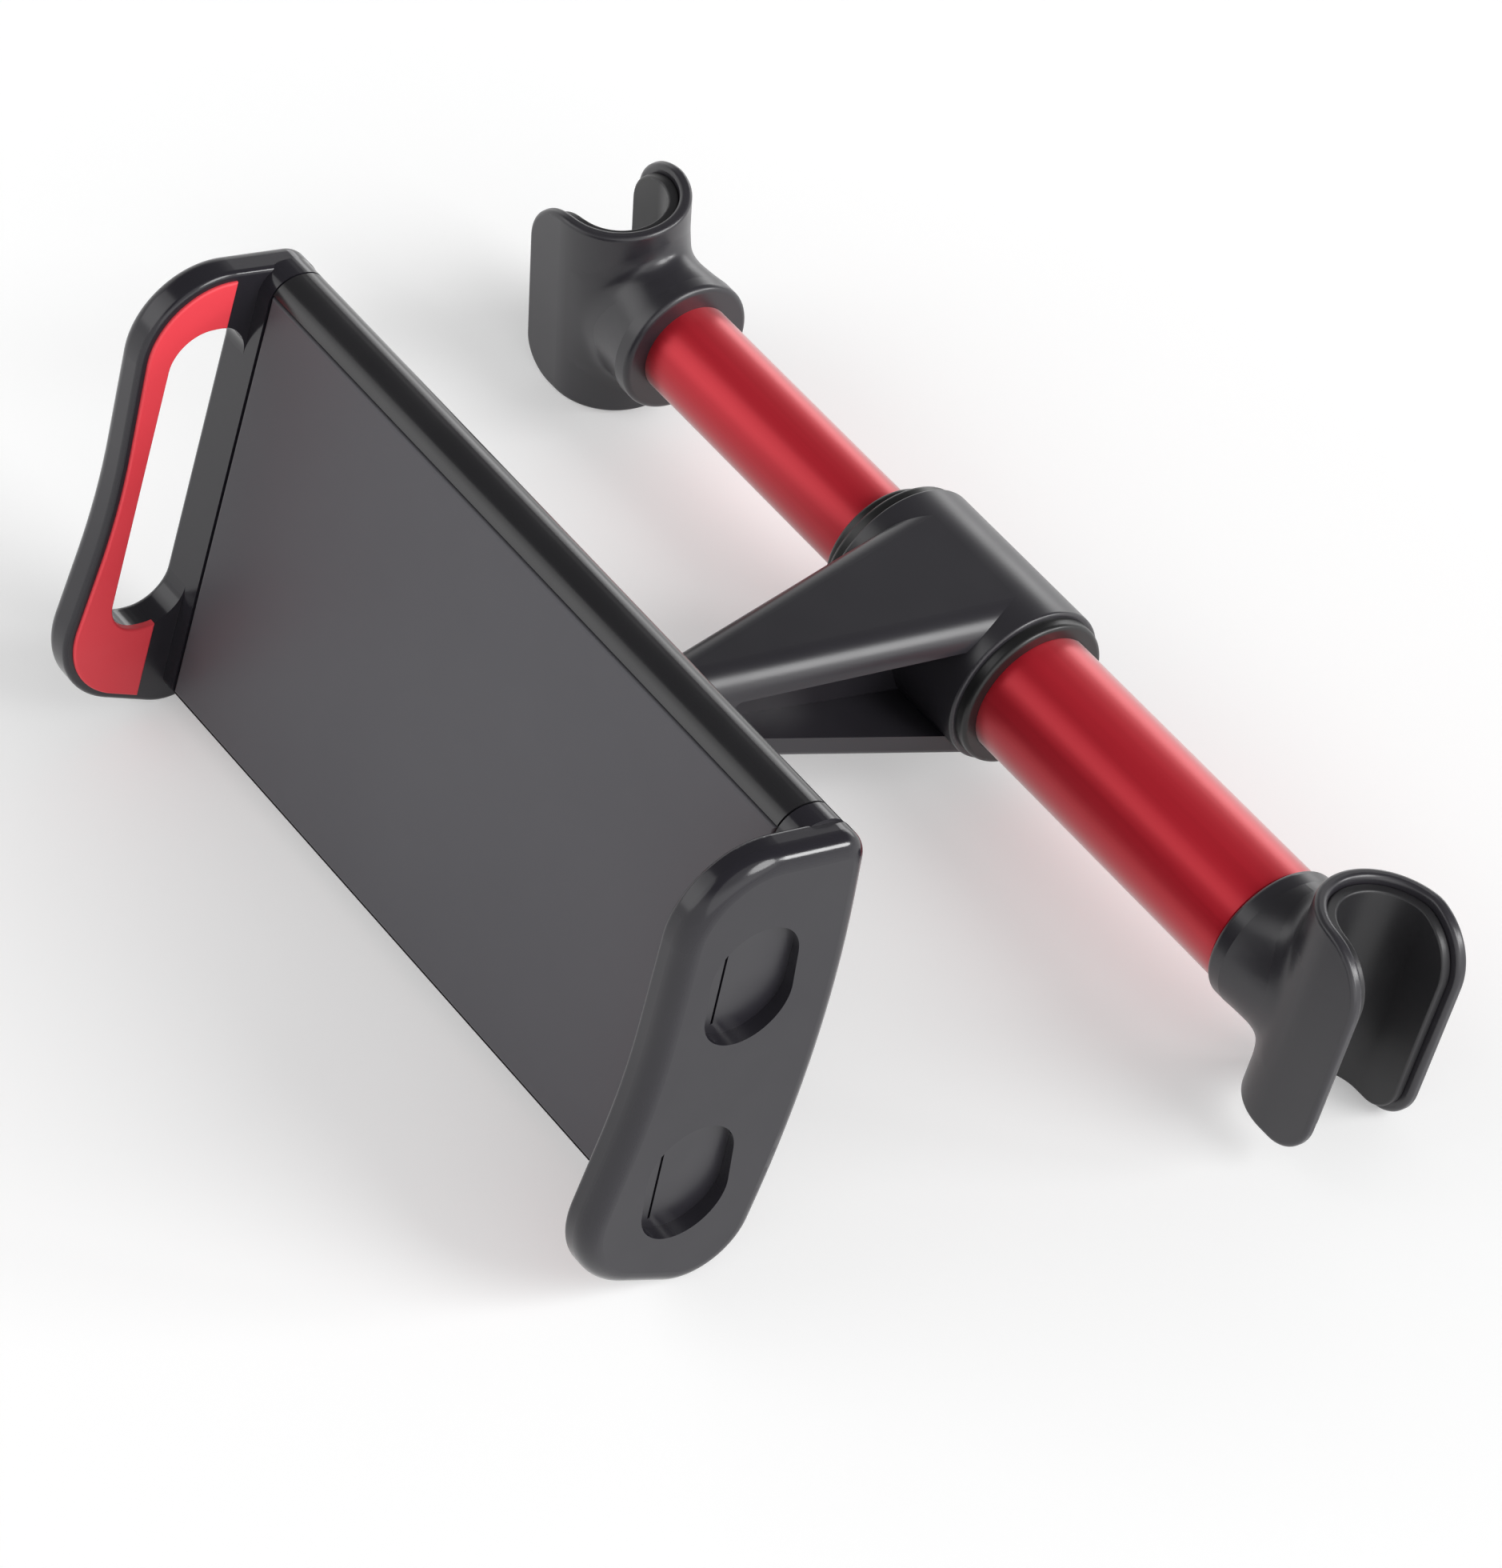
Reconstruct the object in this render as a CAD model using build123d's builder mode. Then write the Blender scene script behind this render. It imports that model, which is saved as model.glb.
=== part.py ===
from build123d import *
from math import cos, radians, sin, tan
import os

# Headrest tablet mount. Millimetres, with the origin on the axis of the fixed headrest post,
# at the height of the bar. +X runs along the bar, out past the fixed fork. +Z runs up the post.
# The cradle faces -Y.

# Headrest posts
post_diameter = 14.0
post_spacing = 175.5
post_clearance = 0.1

# Forks that press on the posts; the sliding one lies turned on the bar
fork_twist = 14.0
liner_thickness = 1.7
liner_inset = 1.3
fork_wall = 1.9
fork_height = 35.0
fork_reach = 7.8
fork_top_radius = 9.5
fork_foot_radius = 6.0
fork_rim_radius = 0.7
liner_rim_radius = 0.4
tube_stop = 18.3
collar_radius = 11.0
collar_length = 2.8
collar_rim_radius = 0.9
waist_radius = 9.6
neck_height = 26.0
neck_inset = 0.4
spigot_length = 9.0
socket_depth = 9.0

# Telescopic bar
outer_tube_diameter = 20.0
outer_tube_wall = 1.5
inner_tube_diameter = 15.0
inner_tube_wall = 1.2
tube_edge = 0.4
tube_overlap = 26.0
tube_overhang = 0.5
tube_clearance = 0.1
guide_length = 8.0
guide_flange = 2.0

# Twist lock inside the bar
lock_plug_length = 8.0
lock_cone_length = 6.0
lock_cone_tip_radius = 4.2
lock_cone_step = 0.3
lock_stud_radius = 2.5
lock_clearance = 0.15
expander_gap = 0.6
expander_length = 16.0
expander_slit = 1.0
expander_slit_length = 10.0
expander_slits = 4

# Arm
arm_offset = 89.0
sleeve_radius = 13.0
sleeve_ledge = 0.7
sleeve_rim_radius = 0.5
bush_wall = 1.1
bush_length = 8.0
bush_flange = 2.0
bush_flange_radius = 12.2
bush_rim_radius = 0.7
arm_length = 52.0
arm_root_width = 28.6
arm_tip_width = 8.8
arm_top_slope = 8.0
arm_bottom_slope = 6.5
arm_edge_radius = 4.2
arm_foot_radius = 1.0
arm_web = 2.4
pocket_tip_wall = 6.0
pocket_roof = 4.6
pocket_floor = 3.5
pocket_radius = 1.2

# Ball joint
ball_offset = 68.5
ball_radius = 8.0
ball_neck_radius = 4.2
ball_shank_radius = 3.0
ball_shank_cover = 1.0
cup_clearance = 0.15
cup_thickness = 1.0
cup_mouth_angle = 50.0
cup_floor_angle = 140.0
socket_back = 9.0
socket_wall = 2.1
socket_edge = 0.4
nut_clearance = 0.15
nut_wall = 1.9
nut_gap = 0.8
nut_length = 16.2
nut_mouth_angle = 55.0
nut_seat_angle = 88.0
nut_rim_radius = 1.0
nut_grips = 18
nut_grip_radius = 0.9
nut_grip_depth = 0.6

# Cradle
cradle_length = 118.0
cradle_depth = 9.0
cradle_crown = 3.5
cradle_crown_radius = 150.0
cradle_top = 38.5
cradle_bottom = 36.0
cradle_wall = 2.5
cradle_rim = 1.0
roll_back_radius = 4.4
roll_front_radius = 4.2
keel_radius = 2.5
panel_thickness = 2.0
panel_top_margin = 3.0
panel_bottom_margin = 1.6
panel_gap = 0.3
panel_edge_radius = 0.5
rail_height_offset = 26.0
rail_width = 2.0
spring_bay = 23.0

# Sliding tongues of the jaws
tongue_height = 56.8
tongue_thickness = 3.0
tongue_clearance = 0.25
tongue_centre_gap = 2.5
slot_margin = 3.1
tongue_tab_height = 44.0
tongue_tab_length = 2.6
tongue_corner_radius = 2.0
boss_radius = 3.0
boss_clearance = 0.4
boss_inset = 8.0
boss_z = 20.0

# Jaw springs
spring_radius = 2.0
spring_wall = 0.6
spring_post_radius = 1.4
spring_post_fit = 0.1
spring_loop_wall = 1.0
spring_loop_thickness = 0.8
spring_anchor_inset = 14.0
spring_hook_x = 10.0
spring_height_offset = 8.0
spring_clearance = 0.4

# Screws
screw_radius = 1.1
screw_play = 0.2
screw_head_radius = 2.6
screw_head_height = 1.0
screw_seat = 1.2
screw_grip = 5.0
jaw_screw_radius = 0.9
jaw_screw_head_radius = 1.5
jaw_screw_head_height = 1.0
jaw_screw_sink = 2.0
jaw_screw_inset = 1.8
jaw_screw_z = 12.0

# Jaws
seam = 0.3
jaw_foot = 2.6
jaw_thickness = 5.2
jaw_top_back = 37.5
jaw_top_front = 39.5
jaw_reach_top = 18.4
jaw_reach_waist = 16.4
jaw_reach_chin = 20.2
jaw_chin = 32.0
jaw_bottom = 42.0
jaw_back_margin = 0.8
jaw_crown = 5.5
jaw_crown_radius = 200.0
jaw_back_top_radius = 4.5
jaw_front_top_radius = 12.5
jaw_waist_radius = 120.0
jaw_chin_radius = 14.0
jaw_heel_radius = 10.0
jaw_edge_radius = 2.0
plate_edge_radius = 2.8
jaw_inner_edge_radius = 0.8
loop_front = 12.5
loop_top = 29.5
loop_bottom = 23.0
loop_radius = 5.8
loop_edge_radius = 1.0

# Grip pads and the recesses outside the right jaw
pad_thickness = 1.2
pad_proud = 0.5
pad_inset = 1.3
pad_setback = 4.2
pad_edge_radius = 0.35
recess_width = 14.0
recess_height = 20.0
recess_setback = 3.8
recess_upper_z = 16.5
recess_lower_z = -18.0
recess_depth = 1.6
recess_pitch = 9.0
recess_roll = 4.0
slit_width = 0.4
slit_length = 15.6
slit_depth = 0.8
slit_offset = 4.0
slit_rise = 0.9

# Sizes and places that follow from the values above
post_radius = post_diameter / 2
liner_inner = post_radius + post_clearance
channel_radius = liner_inner + liner_thickness
fork_radius = channel_radius + fork_wall
outer_radius = outer_tube_diameter / 2
outer_bore = outer_radius - outer_tube_wall
inner_radius = inner_tube_diameter / 2
inner_bore = inner_radius - inner_tube_wall
sliding_post_x = -post_spacing
arm_x = -arm_offset
sleeve_length = arm_root_width + 2 * sleeve_ledge
sleeve_end = sleeve_length / 2
sleeve_bore = outer_radius + tube_clearance + bush_wall
outer_tube_right = -tube_stop
outer_tube_left = arm_x - sleeve_end - bush_flange - tube_overhang
inner_tube_left = sliding_post_x + tube_stop - socket_depth
inner_tube_right = outer_tube_left + tube_overlap
ball_y = -ball_offset
cup_inner = ball_radius + cup_clearance
cup_outer = cup_inner + cup_thickness
socket_radius = cup_outer + cup_clearance
boss_outer = socket_radius + socket_wall
nut_bore = boss_outer + nut_clearance
nut_outer = nut_bore + nut_wall
back_y = ball_y - socket_back
edge_back_y = back_y - cradle_crown
front_y = edge_back_y - cradle_depth
panel_back_y = front_y + panel_thickness
wall_y = edge_back_y - cradle_rim
bay_y = back_y - cradle_wall
jaw_edge_y = edge_back_y + jaw_back_margin
jaw_back_y = jaw_edge_y + jaw_crown
jaw_screw_y = back_y - jaw_screw_sink
half_length = cradle_length / 2
panel_top = cradle_top - panel_top_margin
panel_bottom = cradle_bottom - panel_bottom_margin
tongue_front_y = panel_back_y + tongue_clearance
tongue_back_y = tongue_front_y + tongue_thickness
rail_y = tongue_back_y + tongue_clearance
cavity_half = tongue_height / 2 + tongue_clearance
slot_half = boss_radius + boss_clearance
boss_x = half_length - boss_inset
slot_inner_x = tongue_centre_gap + slot_margin
slot_outer_x = boss_x + slot_half
spring_anchor_x = half_length - spring_anchor_inset
seam_x = half_length + seam
jaw_inner_x = seam_x + jaw_foot
jaw_outer_x = jaw_inner_x + jaw_thickness
pad_inner_x = jaw_inner_x - pad_proud
bar_axis = Axis.X
ball_axis = Axis((arm_x, 0, 0), (0, 1, 0))
left = -1
right = 1


def channel_plan(post_x, outward, radius, reach):
    """Plan of a channel round a post, open on its outward side."""
    with BuildSketch(Plane.XY) as plan:
        with Locations((post_x, 0)):
            Circle(radius)
        with Locations((post_x + outward * reach / 2, 0)):
            Rectangle(reach, 2 * radius)
    return plan.sketch


def fork_side(post_x, outward, inset):
    """Side view of a fork: the corners of its free edge are rounded, most at the top."""
    free_x = post_x + outward * (fork_reach - inset)
    back_x = post_x - outward * (fork_radius + fork_top_radius)
    top = fork_height / 2 - inset
    with BuildSketch(Plane.XZ) as side:
        with BuildLine():
            FilletPolyline(
                (back_x, top),
                (free_x, top),
                (free_x, -top),
                (back_x, -top),
                radius=(
                    fork_foot_radius - inset,
                    fork_top_radius - inset,
                    fork_foot_radius - inset,
                    fork_foot_radius - inset,
                ),
                close=True,
            )
        make_face()
    return side.sketch


def channel_rim(shell, outward):
    """Edges of a channel, apart from the lines where its round back runs into its flat sides."""
    upright = shell.edges().filter_by(Axis.Z).group_by(Axis.X)
    return shell.edges() - upright[0 if outward == right else -1]


def neck_section(x, half_width, half_height):
    """Oval section of the neck between a tube and its fork."""
    with BuildSketch(Plane.YZ.offset(x)) as section:
        Ellipse(half_width, half_height)
    return section.sketch


def disc(x, radius):
    """Round section across the bar."""
    with BuildSketch(Plane.YZ.offset(x)) as section:
        Circle(radius)
    return section.sketch


def spot(x, y, z, radius):
    """Round section that looks along -Y, beside the arm's middle plane."""
    with BuildSketch(Plane.XZ.offset(-y)) as section:
        with Locations((arm_x + x, z)):
            Circle(radius)
    return section.sketch


def shell_outline(x):
    """Outside section of the cradle: a rolled top edge and a crowned back."""
    with BuildSketch(Plane.YZ.offset(arm_x + x)) as section:
        with BuildLine():
            FilletPolyline(
                (edge_back_y, cradle_top),
                (front_y, cradle_top),
                (front_y, -cradle_bottom),
                (edge_back_y, -cradle_bottom),
                (back_y, 0),
                radius=(
                    roll_back_radius,
                    roll_front_radius,
                    keel_radius,
                    keel_radius,
                    cradle_crown_radius,
                ),
                close=True,
            )
        make_face()
    return section.sketch


def jaw_outline(x, inset):
    """Side view of a jaw: a waisted front edge, a large chin and a crowned back."""
    with BuildSketch(Plane.YZ.offset(arm_x + x)) as side:
        with BuildLine():
            FilletPolyline(
                (jaw_edge_y, jaw_top_back),
                (front_y - jaw_reach_top, jaw_top_front),
                (front_y - jaw_reach_waist, 0),
                (front_y - jaw_reach_chin, -jaw_chin),
                (jaw_edge_y, -jaw_bottom),
                (jaw_back_y, 0),
                radius=(
                    jaw_back_top_radius,
                    jaw_front_top_radius,
                    jaw_waist_radius,
                    jaw_chin_radius,
                    jaw_heel_radius,
                    jaw_crown_radius,
                ),
                close=True,
            )
        make_face()
        if inset > 0:
            offset(amount=-inset, mode=Mode.REPLACE)
    return side.sketch


def jaw_loop(x):
    """Hole through the left jaw, from the plane of the panel forwards."""
    with BuildSketch(Plane.YZ.offset(arm_x + x)) as hole:
        with Locations((front_y - loop_front / 2, (loop_top - loop_bottom) / 2)):
            RectangleRounded(loop_front, loop_top + loop_bottom, loop_radius)
    return hole.sketch


def pad_outline(x, looped):
    """Grip pad: the inset outline of the jaw in front of the panel."""
    pad_rear = front_y - pad_setback
    with BuildSketch(Plane.YZ.offset(arm_x + x)) as pad:
        add(Plane.YZ.offset(arm_x + x).to_local_coords(jaw_outline(x, pad_inset)))
        with Locations((pad_rear - jaw_reach_chin / 2, 0)):
            Rectangle(jaw_reach_chin, 2 * jaw_bottom, mode=Mode.INTERSECT)
        if looped:
            add(Plane.YZ.offset(arm_x + x).to_local_coords(jaw_loop(x)), mode=Mode.SUBTRACT)
    return pad.sketch


# Outer tube of the bar
with BuildPart() as outer_tube:
    extrude(disc(outer_tube_left, outer_radius), amount=outer_tube_right - outer_tube_left)
    chamfer(outer_tube.edges(), tube_edge)
    extrude(
        disc(outer_tube_left, outer_bore),
        amount=outer_tube_right - outer_tube_left,
        mode=Mode.SUBTRACT,
    )

# Inner tube of the bar
with BuildPart() as inner_tube:
    extrude(disc(inner_tube_left, inner_radius), amount=inner_tube_right - inner_tube_left)
    extrude(
        disc(inner_tube_left, inner_bore),
        amount=inner_tube_right - inner_tube_left,
        mode=Mode.SUBTRACT,
    )

# Guide bush in the mouth of the outer tube
with BuildPart() as tube_guide_bush:
    extrude(disc(outer_tube_left, outer_bore), amount=guide_length)
    extrude(disc(outer_tube_left, outer_radius), amount=-guide_flange)
    fillet(tube_guide_bush.edges().sort_by(Axis.X)[0], bush_rim_radius)
    extrude(
        disc(outer_tube_left - guide_flange, inner_radius + tube_clearance),
        amount=guide_flange + guide_length,
        mode=Mode.SUBTRACT,
    )

# Lock screw: a plug in the inner tube, a cone and a stud
cone_root_x = inner_tube_right
cone_tip_x = cone_root_x + lock_cone_length
expander_left = cone_root_x + expander_gap
expander_right = expander_left + expander_length
cone_root_radius = inner_radius - lock_cone_step
with BuildPart() as lock_screw:
    with BuildSketch(Plane.XZ):
        with BuildLine():
            Polyline(
                (cone_root_x - lock_plug_length, 0),
                (cone_root_x - lock_plug_length, inner_bore),
                (cone_root_x, inner_bore),
                (cone_root_x, cone_root_radius),
                (cone_tip_x, lock_cone_tip_radius),
                (cone_tip_x, lock_stud_radius),
                (expander_right, lock_stud_radius),
                (expander_right, 0),
                close=True,
            )
        make_face()
    revolve(axis=bar_axis)

# Split expander that grips the bore of the outer tube
cone_slope = (cone_root_radius - lock_cone_tip_radius) / lock_cone_length
expander_mouth = cone_root_radius - cone_slope * expander_gap + lock_clearance
with BuildPart() as lock_expander:
    with BuildSketch(Plane.XZ):
        with BuildLine():
            Polyline(
                (expander_left, expander_mouth),
                (expander_left, outer_bore - tube_clearance),
                (expander_right, outer_bore - tube_clearance),
                (expander_right, lock_stud_radius + lock_clearance),
                (cone_tip_x + lock_clearance, lock_stud_radius + lock_clearance),
                (cone_tip_x + lock_clearance, lock_cone_tip_radius + lock_clearance),
                close=True,
            )
        make_face()
    revolve(axis=bar_axis)
    with BuildSketch(Plane.YZ.offset(expander_left)):
        with PolarLocations(outer_bore / 2, expander_slits):
            Rectangle(outer_bore, expander_slit)
    extrude(amount=expander_slit_length, mode=Mode.SUBTRACT)

# Forks: one has a spigot in the outer tube, the other a socket round the inner tube
forks = {}
liners = {}
for name, post_x, outward, twist in (("fixed", 0, right, 0), ("sliding", sliding_post_x, left, fork_twist)):
    tube_x = post_x - outward * tube_stop
    neck_x = tube_x + outward * collar_length
    waist_x = (neck_x + post_x) / 2
    with BuildPart() as fork:
        extrude(channel_plan(post_x, outward, fork_radius, fork_reach), amount=fork_height / 2, both=True)
        extrude(
            fork_side(post_x, outward, 0),
            amount=fork_radius,
            both=True,
            mode=Mode.INTERSECT,
        )
        extrude(
            channel_plan(post_x, outward, channel_radius, 2 * fork_reach),
            amount=fork_height / 2,
            both=True,
            mode=Mode.SUBTRACT,
        )
        fillet(channel_rim(fork, outward), fork_rim_radius)
        extrude(disc(tube_x, collar_radius), amount=outward * collar_length)
        fillet(fork.faces().sort_by(Axis.X)[0 if outward == right else -1].edges(), collar_rim_radius)
        loft(
            [
                neck_section(neck_x, collar_radius, collar_radius),
                neck_section(waist_x, waist_radius, (collar_radius + neck_height / 2) / 2),
                neck_section(post_x, fork_radius - neck_inset, neck_height / 2),
            ]
        )
        extrude(
            channel_plan(post_x, outward, channel_radius, 2 * fork_reach),
            amount=fork_height / 2,
            both=True,
            mode=Mode.SUBTRACT,
        )
        if name == "fixed":
            extrude(disc(tube_x, outer_bore), amount=-outward * spigot_length)
        else:
            extrude(disc(tube_x, inner_radius), amount=outward * socket_depth, mode=Mode.SUBTRACT)
    with BuildPart() as liner:
        extrude(
            channel_plan(post_x, outward, channel_radius, fork_reach),
            amount=fork_height / 2,
            both=True,
        )
        extrude(
            fork_side(post_x, outward, liner_inset),
            amount=channel_radius,
            both=True,
            mode=Mode.INTERSECT,
        )
        extrude(
            channel_plan(post_x, outward, liner_inner, 2 * fork_reach),
            amount=fork_height / 2,
            both=True,
            mode=Mode.SUBTRACT,
        )
        fillet(channel_rim(liner, outward), liner_rim_radius)
    forks[name] = fork.part.rotate(bar_axis, twist)
    liners[name] = liner.part.rotate(bar_axis, twist)

# Arm: a tapered wedge with a pocket each side, which runs up to the sleeve round the bar
top_angle = radians(arm_top_slope)
bottom_angle = radians(arm_bottom_slope)
top_tangent = (-sleeve_radius * sin(top_angle), sleeve_radius * cos(top_angle))
bottom_tangent = (-sleeve_radius * sin(bottom_angle), -sleeve_radius * cos(bottom_angle))


def arm_top(y):
    """Height of the arm's top face at y."""
    return top_tangent[1] + (y - top_tangent[0]) * tan(top_angle)


def arm_bottom(y):
    """Height of the arm's bottom face at y."""
    return bottom_tangent[1] - (y - bottom_tangent[0]) * tan(bottom_angle)


def is_flank_edge(edge):
    """True for the long edges that run from the sleeve to the tip of the arm."""
    return edge.length > arm_root_width


pocket_far = pocket_tip_wall - arm_length
ball_shank_length = pocket_tip_wall - ball_shank_cover
with BuildPart() as arm:
    with BuildSketch(Plane.YZ.offset(arm_x)):
        with BuildLine():
            Polyline(
                (0, 0),
                top_tangent,
                (-arm_length, arm_top(-arm_length)),
                (-arm_length, arm_bottom(-arm_length)),
                bottom_tangent,
                close=True,
            )
        make_face()
    extrude(amount=arm_root_width / 2, both=True)
    with BuildSketch(Plane.XY):
        with BuildLine():
            Polyline(
                (arm_x - arm_root_width / 2, 0),
                (arm_x + arm_root_width / 2, 0),
                (arm_x + arm_tip_width / 2, -arm_length),
                (arm_x - arm_tip_width / 2, -arm_length),
                close=True,
            )
        make_face()
    extrude(amount=sleeve_radius, both=True, mode=Mode.INTERSECT)
    fillet(arm.edges().filter_by(is_flank_edge).sort_by(Axis.Z)[-2:], arm_edge_radius)
    fillet(arm.edges().filter_by(is_flank_edge).sort_by(Axis.Z)[:2], arm_foot_radius)
    for side in (left, right):
        with BuildSketch(Plane.YZ.offset(arm_x + side * arm_web / 2)) as pocket:
            with BuildLine():
                FilletPolyline(
                    (0, arm_top(0) - pocket_roof),
                    (pocket_far, arm_top(pocket_far) - pocket_roof),
                    (pocket_far, arm_bottom(pocket_far) + pocket_floor),
                    (0, arm_bottom(0) + pocket_floor),
                    radius=pocket_radius,
                    close=True,
                )
            make_face()
        extrude(amount=side * arm_root_width, mode=Mode.SUBTRACT)
    extrude(disc(arm_x - sleeve_end, sleeve_radius), amount=sleeve_length)
    fillet(arm.faces().sort_by(Axis.X)[0].edges(), sleeve_rim_radius)
    fillet(arm.faces().sort_by(Axis.X)[-1].edges(), sleeve_rim_radius)
    extrude(disc(arm_x - sleeve_end, sleeve_bore), amount=sleeve_length, mode=Mode.SUBTRACT)
    extrude(
        spot(0, -arm_length, 0, ball_shank_radius),
        amount=-ball_shank_length,
        mode=Mode.SUBTRACT,
    )

# Flanged bushes in the two ends of the sleeve
bushes = {}
for name, side in (("left", left), ("right", right)):
    end_x = arm_x + side * sleeve_end
    with BuildPart() as bush:
        extrude(disc(end_x, bush_flange_radius), amount=side * bush_flange)
        rim = bush.faces().sort_by(Axis.X)[-1 if side == right else 0].edges()
        fillet(rim, bush_rim_radius)
        extrude(disc(end_x, sleeve_bore), amount=-side * bush_length)
        extrude(
            disc(end_x + side * bush_flange, outer_radius + tube_clearance),
            amount=-side * (bush_flange + bush_length),
            mode=Mode.SUBTRACT,
        )
    bushes[name] = bush

# Ball and neck, with a shank in the tip of the arm
with BuildPart() as ball_stud:
    with Locations((arm_x, ball_y, 0)):
        Sphere(ball_radius)
    extrude(spot(0, -arm_length, 0, ball_neck_radius), amount=ball_offset - arm_length)
    extrude(spot(0, -arm_length, 0, ball_shank_radius), amount=-ball_shank_length)


def polar(radius, angle):
    """Point of the ball joint's section, angle counted from the neck."""
    return (arm_x + radius * sin(radians(angle)), ball_y + radius * cos(radians(angle)))


# Friction cup: a spherical zone between the ball and its socket
cup_middle_angle = (cup_mouth_angle + cup_floor_angle) / 2
with BuildPart() as friction_cup:
    with BuildSketch(Plane.XY):
        with BuildLine():
            ThreePointArc(
                polar(cup_outer, cup_mouth_angle),
                polar(cup_outer, cup_middle_angle),
                polar(cup_outer, cup_floor_angle),
            )
            Line(polar(cup_outer, cup_floor_angle), polar(cup_inner, cup_floor_angle))
            ThreePointArc(
                polar(cup_inner, cup_floor_angle),
                polar(cup_inner, cup_middle_angle),
                polar(cup_inner, cup_mouth_angle),
            )
            Line(polar(cup_inner, cup_mouth_angle), polar(cup_outer, cup_mouth_angle))
        make_face()
    revolve(axis=ball_axis)

# Ring nut round the socket, with a spherical lip that holds the cup
nut_front_y = back_y + nut_gap
nut_rear_y = nut_front_y + nut_length
nut_mouth_radius = (nut_rear_y - ball_y) * tan(radians(nut_mouth_angle))
nut_middle_angle = (nut_mouth_angle + nut_seat_angle) / 2
nut_seat = polar(socket_radius, nut_seat_angle)
with BuildPart() as ball_nut:
    with BuildSketch(Plane.XY):
        with BuildLine():
            Polyline(
                polar(socket_radius, nut_mouth_angle),
                (arm_x + nut_mouth_radius, nut_rear_y),
                (arm_x + nut_outer, nut_rear_y),
                (arm_x + nut_outer, nut_front_y),
                (arm_x + nut_bore, nut_front_y),
                (arm_x + nut_bore, nut_seat[1]),
                nut_seat,
            )
            ThreePointArc(
                nut_seat,
                polar(socket_radius, nut_middle_angle),
                polar(socket_radius, nut_mouth_angle),
            )
        make_face()
    revolve(axis=ball_axis)
    fillet(ball_nut.edges().filter_by(GeomType.CIRCLE).group_by(SortBy.RADIUS)[-1], nut_rim_radius)
    with BuildSketch(Plane.XZ.offset(-nut_front_y)):
        with Locations((arm_x, 0)):
            with PolarLocations(nut_outer + nut_grip_radius - nut_grip_depth, nut_grips):
                Circle(nut_grip_radius)
    extrude(amount=-nut_length, mode=Mode.SUBTRACT)

# Rear shell of the cradle
screw_seat_y = wall_y + screw_seat
with BuildPart() as cradle_rear:
    extrude(shell_outline(-half_length), amount=cradle_length)
    with BuildSketch(Plane.YZ.offset(arm_x - half_length)):
        with Locations((front_y + panel_thickness / 2, (panel_top - panel_bottom) / 2)):
            Rectangle(panel_thickness, panel_top + panel_bottom + 2 * panel_gap)
    extrude(amount=cradle_length, mode=Mode.SUBTRACT)
    with BuildSketch(Plane.YZ.offset(arm_x - half_length + cradle_wall)):
        with Locations(((panel_back_y + wall_y) / 2, 0)):
            Rectangle(wall_y - panel_back_y, 2 * cavity_half)
        with Locations(((panel_back_y + bay_y) / 2, 0)):
            Rectangle(bay_y - panel_back_y, spring_bay)
    extrude(amount=cradle_length - 2 * cradle_wall, mode=Mode.SUBTRACT)
    with BuildSketch(Plane.YZ.offset(arm_x - half_length)):
        with Locations(((panel_back_y + rail_y) / 2, 0)):
            Rectangle(rail_y - panel_back_y, 2 * cavity_half)
    extrude(amount=cradle_length, mode=Mode.SUBTRACT)
    with BuildSketch(Plane.YZ.offset(arm_x - half_length + cradle_wall)):
        with Locations(
            ((rail_y + wall_y) / 2, rail_height_offset),
            ((rail_y + wall_y) / 2, -rail_height_offset),
        ):
            Rectangle(wall_y - rail_y, rail_width)
    extrude(amount=cradle_length - 2 * cradle_wall)
    for side in (left, right):
        extrude(
            spot(-side * spring_anchor_x, bay_y, side * spring_height_offset, spring_post_radius),
            amount=bay_y - rail_y,
        )
    extrude(
        spot(0, back_y - cradle_wall / 2, 0, boss_outer),
        amount=-(socket_back - socket_edge + cradle_wall / 2),
    )
    with Locations((arm_x, ball_y, 0)):
        Sphere(socket_radius, mode=Mode.SUBTRACT)
    for x in (-boss_x, boss_x):
        for z in (-boss_z, boss_z):
            extrude(
                spot(x, screw_seat_y, z, screw_head_radius + screw_play),
                amount=screw_seat_y - back_y,
                mode=Mode.SUBTRACT,
            )
            extrude(
                spot(x, screw_seat_y, z, screw_radius + screw_play),
                amount=screw_seat,
                mode=Mode.SUBTRACT,
            )

# Front panel of the cradle, with the bosses that its screws bite in
with BuildPart() as cradle_front:
    with BuildSketch(Plane.YZ.offset(arm_x - half_length)):
        with Locations((front_y + panel_thickness / 2, (panel_top - panel_bottom) / 2)):
            Rectangle(panel_thickness, panel_top + panel_bottom)
    extrude(amount=cradle_length)
    fillet(cradle_front.faces().sort_by(Axis.Y)[0].edges(), panel_edge_radius)
    for x in (-boss_x, boss_x):
        for z in (-boss_z, boss_z):
            extrude(spot(x, wall_y, z, boss_radius), amount=wall_y - panel_back_y)
            extrude(spot(x, wall_y, z, screw_radius), amount=screw_grip, mode=Mode.SUBTRACT)

# Screws that close the cradle from behind
with BuildPart() as cradle_screws:
    for x in (-boss_x, boss_x):
        for z in (-boss_z, boss_z):
            extrude(spot(x, screw_seat_y, z, screw_head_radius), amount=-screw_head_height)
            extrude(spot(x, screw_seat_y, z, screw_radius), amount=screw_seat + screw_grip)

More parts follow.
